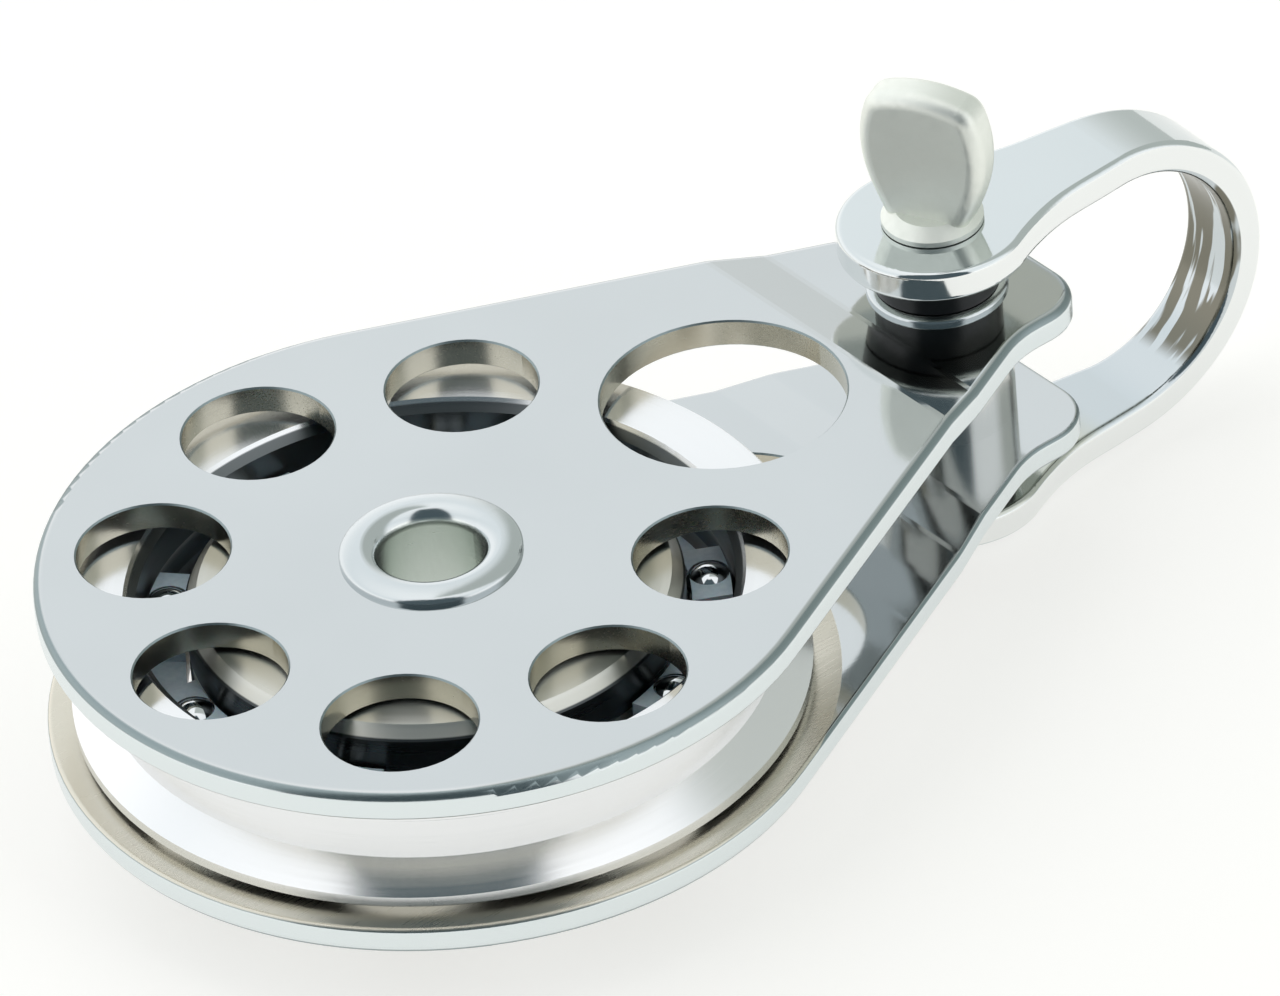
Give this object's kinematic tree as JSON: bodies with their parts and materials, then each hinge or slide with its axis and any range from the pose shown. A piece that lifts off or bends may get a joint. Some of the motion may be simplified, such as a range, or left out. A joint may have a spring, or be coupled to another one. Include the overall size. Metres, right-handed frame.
{
  "type": "ball bearing pulley block",
  "caption": "Rigging block: teardrop cheeks round a grooved ball bearing sheave, with a strap shackle held on the head by a wing-headed pin.",
  "frame": {"origin": "on the sheave's axis, midway between the two cheeks", "axes": "+Z along the sheave's axis towards the wing head, +X from the sheave to the shackle"},
  "size_m": [0.1029, 0.057, 0.0369],
  "materials": {
    "polished_plate": "polished stainless steel with fine rubbing lines",
    "rivet_steel": "bright rolled stainless steel tube",
    "race_steel": "turned stainless steel",
    "sheave_metal": "bright turned aluminium with fine lathe rings",
    "ball_steel": "mirror ground steel ball",
    "cage_plastic": "moulded grey-blue nylon",
    "spacer_steel": "bright stainless steel tube",
    "washer_black": "black acetal",
    "strap_steel": "tumbled and polished stainless steel strip",
    "pin_steel": "tumbled stainless steel forging"
  },
  "bodies": {
    "block": {"upper_cheek": "polished_plate", "lower_cheek": "polished_plate", "hub_rivet": "rivet_steel", "inner_race": "race_steel", "head_spacer": "spacer_steel", "head_bush": "rivet_steel", "upper_washer": "washer_black", "lower_washer": "washer_black"},
    "sheave": {"sheave": "sheave_metal"},
    "ball_set": {"ball_1": "ball_steel", "ball_2": "ball_steel", "ball_3": "ball_steel", "ball_4": "ball_steel", "ball_5": "ball_steel", "ball_6": "ball_steel", "ball_7": "ball_steel", "ball_8": "ball_steel", "ball_9": "ball_steel", "ball_cage": "cage_plastic"},
    "shackle": {"shackle_bow": "strap_steel"},
    "wing_pin": {"wing_pin": "pin_steel"}
  },
  "joints": [
    {"name": "sheave_spin", "type": "hinge", "parent": "block", "child": "sheave", "pos_m": [0, 0, 0], "axis": [0, 0, 1], "continuous": true},
    {"name": "ball_set_spin", "type": "hinge", "parent": "block", "child": "ball_set", "pos_m": [0, 0, 0], "axis": [0, 0, 1], "continuous": true},
    {"name": "shackle_swing", "type": "hinge", "parent": "block", "child": "shackle", "pos_m": [0.0471, 0, 0], "axis": [0, 0, 1], "range_deg": [-121, 127]},
    {"name": "pin_turn", "type": "hinge", "parent": "shackle", "child": "wing_pin", "pos_m": [0.0471, 0, 0], "axis": [0, 0, 1], "range_deg": [0, 990]}
  ],
  "couplings": [
    {"joint": "ball_set_spin", "follows": "sheave_spin", "ratio": 0.55036}
  ]
}
